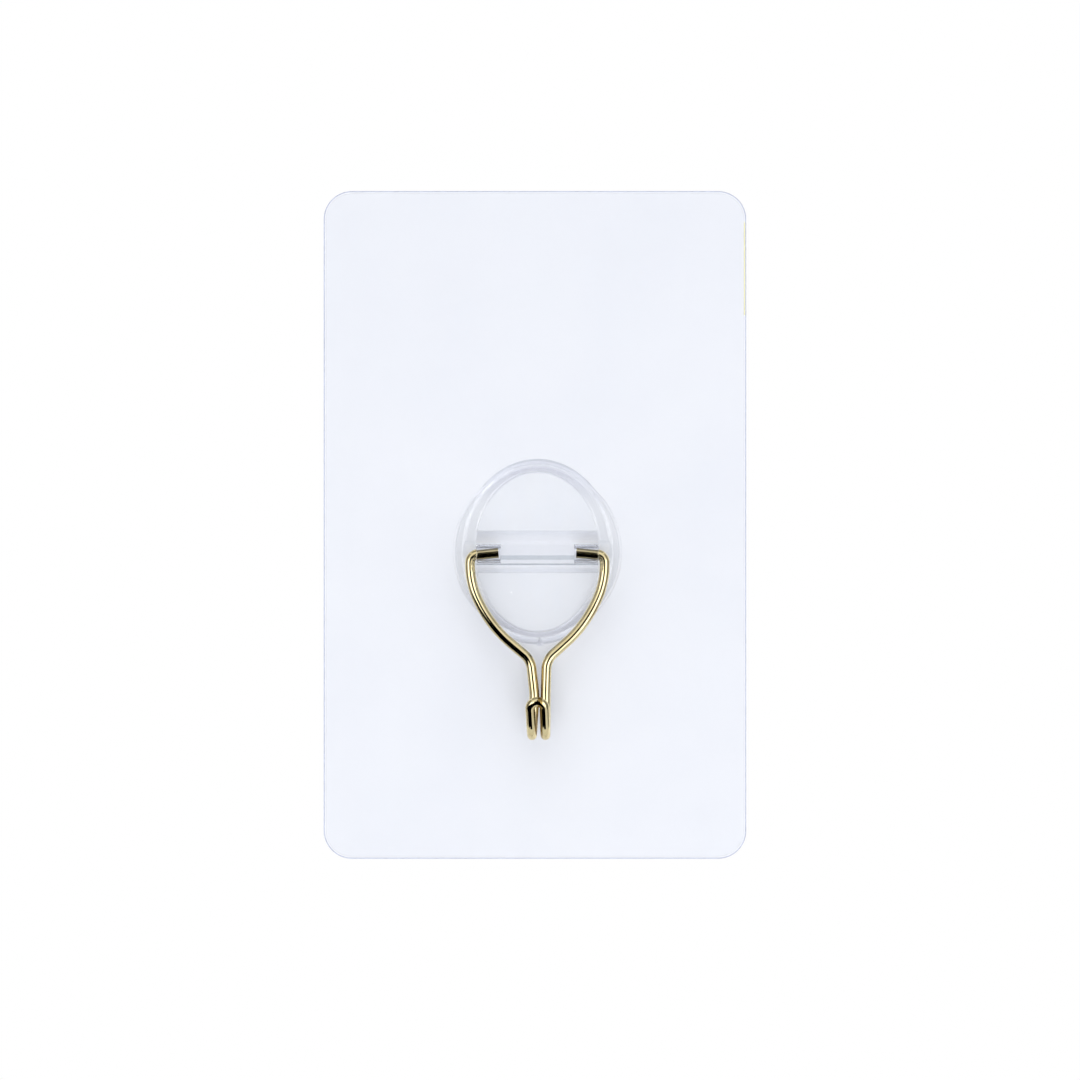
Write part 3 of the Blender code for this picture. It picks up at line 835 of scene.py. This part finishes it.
@dataclass
class WireHook:
    """One length of wire, folded double: two ends in the bores, two arms, a double stem and a tip.

    Its corners are given in the pad's own frame from the pivot: x across, y up and z out of the wall.
    """

    DRAWN = "drawn"
    STRAIN = "strain"
    CUT_SLOT = 1

    diameter: float = 0.0014
    mouth: float = 0.00854
    bore_depth: float = 0.00335
    end_gap: float = 0.0003
    end_tilt: float = math.radians(5.0)
    end_taper: float = 0.88
    arm_x: float = 0.00952
    elbow_radius: float = 0.0012
    shoulder_drop: float = 0.00425
    shoulder_radius: float = 0.0115
    waist_half_width: float = 0.0067
    waist_drop: float = 0.01025
    waist_radius: float = 0.0175
    neck_gap: float = 0.00086
    neck_drop: float = 0.0151
    neck_radius: float = 0.0030
    stem_gap: float = 0.00016
    stem_drop: float = 0.0200
    stem_radius: float = 0.0080
    crevice_margin: float = 0.00015
    heel_gap: float = 0.00048
    hook_drop: float = 0.0256
    throat_width: float = 0.0056
    tip_rise: float = 0.0048
    tip_flare: float = math.radians(27.0)
    tip_gap: float = 0.00060
    neck_lean: float = 0.00017
    stem_lean: float = 0.00038
    heel_lean: float = 0.00020
    tip_lean: float = -0.00004
    sides: int = 40
    bend_step: float = math.radians(2.5)
    run_step: float = 0.0006
    end_finish: ShearedEnd = field(default_factory=ShearedEnd)

    def corners(self, side: int) -> list[tuple[Vector, float]]:
        """Corners (point, bend radius) of one half of the wire, from its end in the bore to the tip.

        Args:
            side: -1 for the left half, 1 for the right.

        Returns:
            The corners, in order.
        """
        radius = self.diameter / 2
        end_x = self.mouth - self.bore_depth + self.end_gap
        mid_bore_x = self.mouth - self.bore_depth / 2
        fall = math.tan(self.end_tilt)
        throat_radius = (self.throat_width + self.diameter) / 2
        reach = throat_radius * (1 + math.tan((math.pi / 2 - self.tip_flare) / 2))
        tip_reach = reach + self.tip_rise * math.tan(self.tip_flare)
        tip_x = radius + self.tip_gap / 2
        neck_x = side * (radius + self.neck_gap / 2) + self.neck_lean
        stem_x = side * (radius + self.stem_gap / 2) + self.stem_lean
        heel_x = side * (radius + self.heel_gap / 2) + self.heel_lean
        return [
            (Vector((side * end_x, (mid_bore_x - end_x) * fall, 0.0)), 0.0),
            (Vector((side * self.arm_x, (mid_bore_x - self.arm_x) * fall, 0.0)), self.elbow_radius),
            (Vector((side * self.arm_x, -self.shoulder_drop, 0.0)), self.shoulder_radius),
            (Vector((side * self.waist_half_width, -self.waist_drop, 0.0)), self.waist_radius),
            (Vector((neck_x, -self.neck_drop, 0.0)), self.neck_radius),
            (Vector((stem_x, -self.stem_drop, 0.0)), self.stem_radius),
            (Vector((heel_x, -self.hook_drop, 0.0)), throat_radius),
            (Vector((heel_x, -self.hook_drop, reach)), throat_radius),
            (Vector((side * tip_x + self.tip_lean, self.tip_rise - self.hook_drop, tip_reach)), tip_x),
        ]

    def run(self, start: Vector, end: Vector) -> list[tuple[Vector, float]]:
        """Points (place, strain) of a straight run, without its start."""
        steps = max(1, math.ceil((end - start).length / self.run_step))
        return [(start.lerp(end, step / steps), 0.0) for step in range(1, steps + 1)]

    def path(self) -> list[tuple[Vector, float]]:
        """Points (place, strain) along the whole wire, its corners bent to their radii."""
        corners = self.corners(-1) + self.corners(1)[::-1]
        points = [(corners[0][0], 0.0)]
        for (before, _), (corner, radius), (after, _) in zip(corners, corners[1:], corners[2:]):
            inward = (before - corner).normalized()
            onward = (after - corner).normalized()
            turn = math.pi - inward.angle(onward)
            setback = radius * math.tan(turn / 2)
            centre = corner + (inward + onward).normalized() * (radius / math.cos(turn / 2))
            start = corner + inward * setback
            # Bends that meet leave no run between them, and a second point there could twist the wire.
            if (start - points[-1][0]).length > self.run_step / 10:
                points += self.run(points[-1][0], start)
            steps = max(2, math.ceil(turn / self.bend_step))
            strain = min(1.0, self.diameter / 2 / radius)
            across = start - centre
            along = -inward * radius
            for step in range(1, steps + 1):
                angle = turn * step / steps
                worked = strain * math.sin(math.pi * step / steps)
                points.append((centre + across * math.cos(angle) + along * math.sin(angle), worked))
        return points + self.run(points[-1][0], corners[-1][0])

    def stations(self, places: list[Vector]) -> list[Matrix]:
        """A frame at each point, z along the wire, turned as little as possible from the last one."""
        ahead = [(b - a).normalized() for a, b in zip(places, places[1:])]
        tangents = [ahead[0]] + [(a + b).normalized() for a, b in zip(ahead, ahead[1:])] + [ahead[-1]]
        turn = UP.rotation_difference(tangents[0])
        frames = [Matrix.LocRotScale(places[0], turn, None)]
        for place, before, tangent in zip(places[1:], tangents, tangents[1:]):
            turn = before.rotation_difference(tangent) @ turn
            frames.append(Matrix.LocRotScale(place, turn, None))
        return frames

    def close_end(self, bm: bmesh.types.BMesh, edges: list, centre: Vector) -> None:
        """Close one end of the wire with a small chamfer and a face of its own finish."""
        verts, rim = extrude_edges(bm, edges)
        space = Matrix.Translation(-centre)
        bmesh.ops.scale(bm, vec=(self.end_taper,) * 3, space=space, verts=verts)
        for face in bmesh.ops.edgeloop_fill(bm, edges=rim)["faces"]:
            face.material_index = self.CUT_SLOT

    def tube(self) -> bmesh.types.BMesh:
        """The whole wire as one tube, with the drawn and strain attributes on its points."""
        points = self.path()
        frames = self.stations([place for place, _ in points])
        bm = bmesh.new()
        drawn = bm.verts.layers.float_vector.new(self.DRAWN)
        strained = bm.verts.layers.float.new(self.STRAIN)
        bmesh.ops.create_circle(bm, segments=self.sides, radius=self.diameter / 2)
        verts = bm.verts[:]
        for vert in verts:
            vert[drawn] = (vert.co.x * 2 / self.diameter, vert.co.y * 2 / self.diameter, 0.0)
        bmesh.ops.transform(bm, matrix=frames[0], verts=verts)
        edges = bm.edges[:]
        first_rim = edges[:]
        travelled = 0.0
        for number in range(1, len(frames)):
            old, new = frames[number - 1], frames[number]
            travelled += (new.translation - old.translation).length
            verts, edges = extrude_edges(bm, edges)
            bmesh.ops.transform(bm, matrix=new @ old.inverted(), verts=verts)
            for vert in verts:
                side = new.inverted() @ vert.co
                vert[drawn] = (side.x * 2 / self.diameter, side.y * 2 / self.diameter, travelled)
                vert[strained] = points[number][1]
        self.close_end(bm, first_rim, frames[0].translation)
        self.close_end(bm, edges, frames[-1].translation)
        return bm

    def build(self) -> None:
        """Make the hook on its pivot."""
        pivot = Vector(next(j["pos_m"] for j in frame["joints"] if j["name"] == "hook_swing"))
        bm = self.tube()
        stand_up(bm, pivot)
        crevice_shade = self.stem_gap / 2 + self.crevice_margin
        finish = GoldWire(pivot.x + self.stem_lean, crevice_shade, pivot.z - self.neck_drop)
        piece = to_object(bm, "folded_wire", [finish.build(), self.end_finish.build()])
        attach(piece, Body.HOOK.value)
        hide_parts("wire_hook")
        log.info("hook: %s with %d faces", piece.name, len(piece.data.polygons))


@dataclass(frozen=True)
class Panel:
    """A rectangle that faces the hook: a soft lamp's front, or a card.

    It stands at a distance in one direction from the hook. The bearing is the angle to the right of the
    line from the hook to the camera, and the elevation is the angle above it, both in degrees. A card
    that isn't seen through the clear pieces shows only in their shine and the wire's.
    """

    name: str
    bearing: float
    elevation: float
    width: float
    height: float
    distance: float
    brightness: float = 0.0
    seen_through: bool = True

    def matrix(self, target: Vector) -> Matrix:
        """Where it stands: x to its right, y up and -z towards the target."""
        turn = Matrix.Rotation(math.radians(self.bearing), 4, "Z")
        tilt = Matrix.Rotation(math.radians(90.0 - self.elevation), 4, "X")
        return Matrix.Translation(target) @ turn @ tilt @ Matrix.Translation((0.0, 0.0, self.distance))


@dataclass
class Studio:
    """The camera, the lamps, the cards, the floor and the white surroundings."""

    frame_width: float = 0.1533
    aim_right: float = 0.00071
    aim_up: float = -0.00214
    lens: float = 200.0
    sensor: float = 36.0
    floor_level: float = -0.30
    floor_size: float = 6.0
    floor_tone: tuple[float, float, float, float] = (0.9, 0.9, 0.9, 1.0)
    floor_fade: tuple[float, float] = (0.45, 0.7)
    view_limit: float = 20.0
    lamps: tuple[Panel, ...] = (
        Panel("right_softbox", 36.0, -17.0, 0.38, 0.58, 0.5, 0.35),
        Panel("left_softbox", -38.0, -1.0, 0.34, 0.26, 0.5, 0.35),
        Panel("front_softbox", 0.0, -12.0, 0.3, 0.3, 0.6, 4.5),
        Panel("upper_right_softbox", 14.0, 42.0, 0.58, 0.93, 0.8, 0.58),
        Panel("upper_left_softbox", -14.0, 42.0, 0.58, 0.93, 0.8, 0.62),
        Panel("back_softbox", 180.0, 15.0, 0.5, 0.7, 0.6, 1.7),
    )
    cards: tuple[Panel, ...] = (
        Panel("right_shine", 36.0, -17.0, 0.38, 0.58, 0.5, 2.3),
        Panel("left_shine", -38.0, -1.0, 0.34, 0.26, 0.5, 2.3),
        Panel("front_card", -2.0, -5.0, 0.27, 0.27, 0.42),
        Panel("camera_card", 0.0, 27.0, 0.09, 0.22, 0.45),
        Panel("low_front_card", -4.0, -50.0, 0.175, 0.27, 0.25),
        Panel("low_left_card", -48.0, -38.0, 0.31, 0.24, 0.29),
        Panel("right_grey_card", 68.0, 0.0, 0.2, 0.9, 0.42, 0.36),
        Panel("left_grey_card", -68.0, 0.0, 0.2, 0.9, 0.42, 0.36),
        Panel("right_dusk_card", 107.0, 0.0, 0.44, 0.9, 0.42, 0.15, False),
        Panel("left_dusk_card", -107.0, 0.0, 0.44, 0.9, 0.42, 0.15, False),
        Panel("ceiling_card", 0.0, 90.0, 0.8, 0.5, 0.55, 0.3),
    )
    fill: float = 0.48

    def camera(self) -> None:
        """The camera, head-on to the pad at the photograph's framing."""
        data = bpy.data.cameras.new("camera")
        data.sensor_width = self.sensor
        data.lens = self.lens
        data.clip_end = self.view_limit
        camera = bpy.data.objects.new("camera", data)
        bpy.context.scene.collection.objects.link(camera)
        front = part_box("pad_sheet")[0].y
        away = self.frame_width * self.lens / self.sensor
        camera.location = (self.aim_right, front - away, self.aim_up)
        camera.rotation_euler = (math.pi / 2, 0.0, 0.0)
        bpy.context.scene.camera = camera

    def lamp(self, panel: Panel, target: Vector) -> None:
        """A rectangular soft lamp, as bright as its panel says. The cards stand for it in the shine."""
        data = bpy.data.lights.new(panel.name, "AREA")
        data.shape = "RECTANGLE"
        data.size = panel.width
        data.size_y = panel.height
        data.energy = panel.brightness * math.pi * panel.width * panel.height
        lamp = bpy.data.objects.new(panel.name, data)
        lamp.matrix_world = panel.matrix(target)
        lamp.visible_camera = False
        lamp.visible_glossy = False
        lamp.visible_transmission = False
        bpy.context.scene.collection.objects.link(lamp)

    def card(self, panel: Panel, target: Vector) -> None:
        """A card that shows in the hanger's shine and, unless its panel bars it, through clear pieces."""
        bm = bmesh.new()
        bmesh.ops.create_grid(bm, x_segments=1, y_segments=1, size=0.5)
        bmesh.ops.scale(bm, verts=bm.verts[:], vec=(panel.width, panel.height, 1.0))
        bmesh.ops.transform(bm, matrix=panel.matrix(target), verts=bm.verts[:])
        mesh = bpy.data.meshes.new(panel.name)
        bm.to_mesh(mesh)
        bm.free()
        material = bpy.data.materials.new(panel.name)
        material.use_nodes = True
        material.cycles.emission_sampling = "NONE"
        graph = ShaderGraph(material.node_tree)
        tone = graph.node("ShaderNodeEmission", None, {"Color": WHITE, "Strength": panel.brightness})
        graph.feed(material.node_tree.nodes["Material Output"].inputs["Surface"], tone)
        mesh.materials.append(material)
        card = bpy.data.objects.new(panel.name, mesh)
        card.visible_camera = False
        card.visible_diffuse = False
        card.visible_shadow = False
        card.visible_transmission = panel.seen_through
        bpy.context.scene.collection.objects.link(card)

    def floor(self) -> None:
        """The pale floor. Away from the hanger it turns into the white of the surroundings."""
        bm = bmesh.new()
        bmesh.ops.create_grid(bm, x_segments=1, y_segments=1, size=self.floor_size / 2)
        bmesh.ops.translate(bm, verts=bm.verts[:], vec=(0.0, 0.0, self.floor_level))
        mesh = bpy.data.meshes.new("floor")
        bm.to_mesh(mesh)
        bm.free()
        surface = Surface("pale_floor")
        graph = surface.graph
        surface.feed({"Base Color": self.floor_tone, "Roughness": 0.7, "Specular IOR Level": 0.2})
        inputs = {0: surface.place}
        away = graph.node("ShaderNodeVectorMath", {"operation": "LENGTH"}, inputs, "Value")
        seen = background_ray(graph)
        white = graph.node("ShaderNodeEmission", None, {"Color": WHITE, "Strength": 1.0})
        solid = Signal(graph, surface.shader.outputs["BSDF"])
        share = seen * away.ramp(*self.floor_fade)
        shown = graph.node("ShaderNodeMixShader", None, {0: share, 1: solid, 2: white})
        graph.feed(graph.tree.nodes["Material Output"].inputs["Surface"], shown)
        mesh.materials.append(surface.material)
        floor = bpy.data.objects.new("floor", mesh)
        bpy.context.scene.collection.objects.link(floor)

    def surroundings(self) -> None:
        """White surroundings for the camera, the shine and the clear pieces, and dimmer fill light."""
        world = bpy.data.worlds.new("white_room")
        bpy.context.scene.world = world
        world.use_nodes = True
        graph = ShaderGraph(world.node_tree)
        background = world.node_tree.nodes["Background"]
        background.inputs["Color"].default_value = WHITE
        graph.feed(background.inputs["Strength"], background_ray(graph) * (1.0 - self.fill) + self.fill)

    def build(self) -> None:
        """Set up the whole studio."""
        bpy.context.scene.view_settings.view_transform = "Standard"
        self.camera()
        low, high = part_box("wire_hook")
        target = (low + high) / 2
        for panel in self.lamps:
            self.lamp(panel, target)
        for panel in self.cards:
            self.card(panel, target)
        self.floor()
        self.surroundings()
        log.info("studio: %d lamps and %d cards", len(self.lamps), len(self.cards))


def background_ray(graph: ShaderGraph) -> Signal:
    """1 for rays from the camera, off shiny surfaces and through clear ones, 0 for the rest."""
    path = graph.node("ShaderNodeLightPath", output="Is Camera Ray")
    outputs = path.socket.node.outputs
    glossy = Signal(graph, outputs["Is Glossy Ray"])
    clear = Signal(graph, outputs["Is Transmission Ray"])
    return path.at_least(glossy).at_least(clear)


def main() -> None:
    """Build the hanger and its studio."""
    logging.basicConfig(level=logging.INFO, format="%(name)s: %(message)s")
    Studio().build()
    PadLaminate().build()
    HookBase().build()
    WireHook().build()


if __name__ == "__main__":
    main()
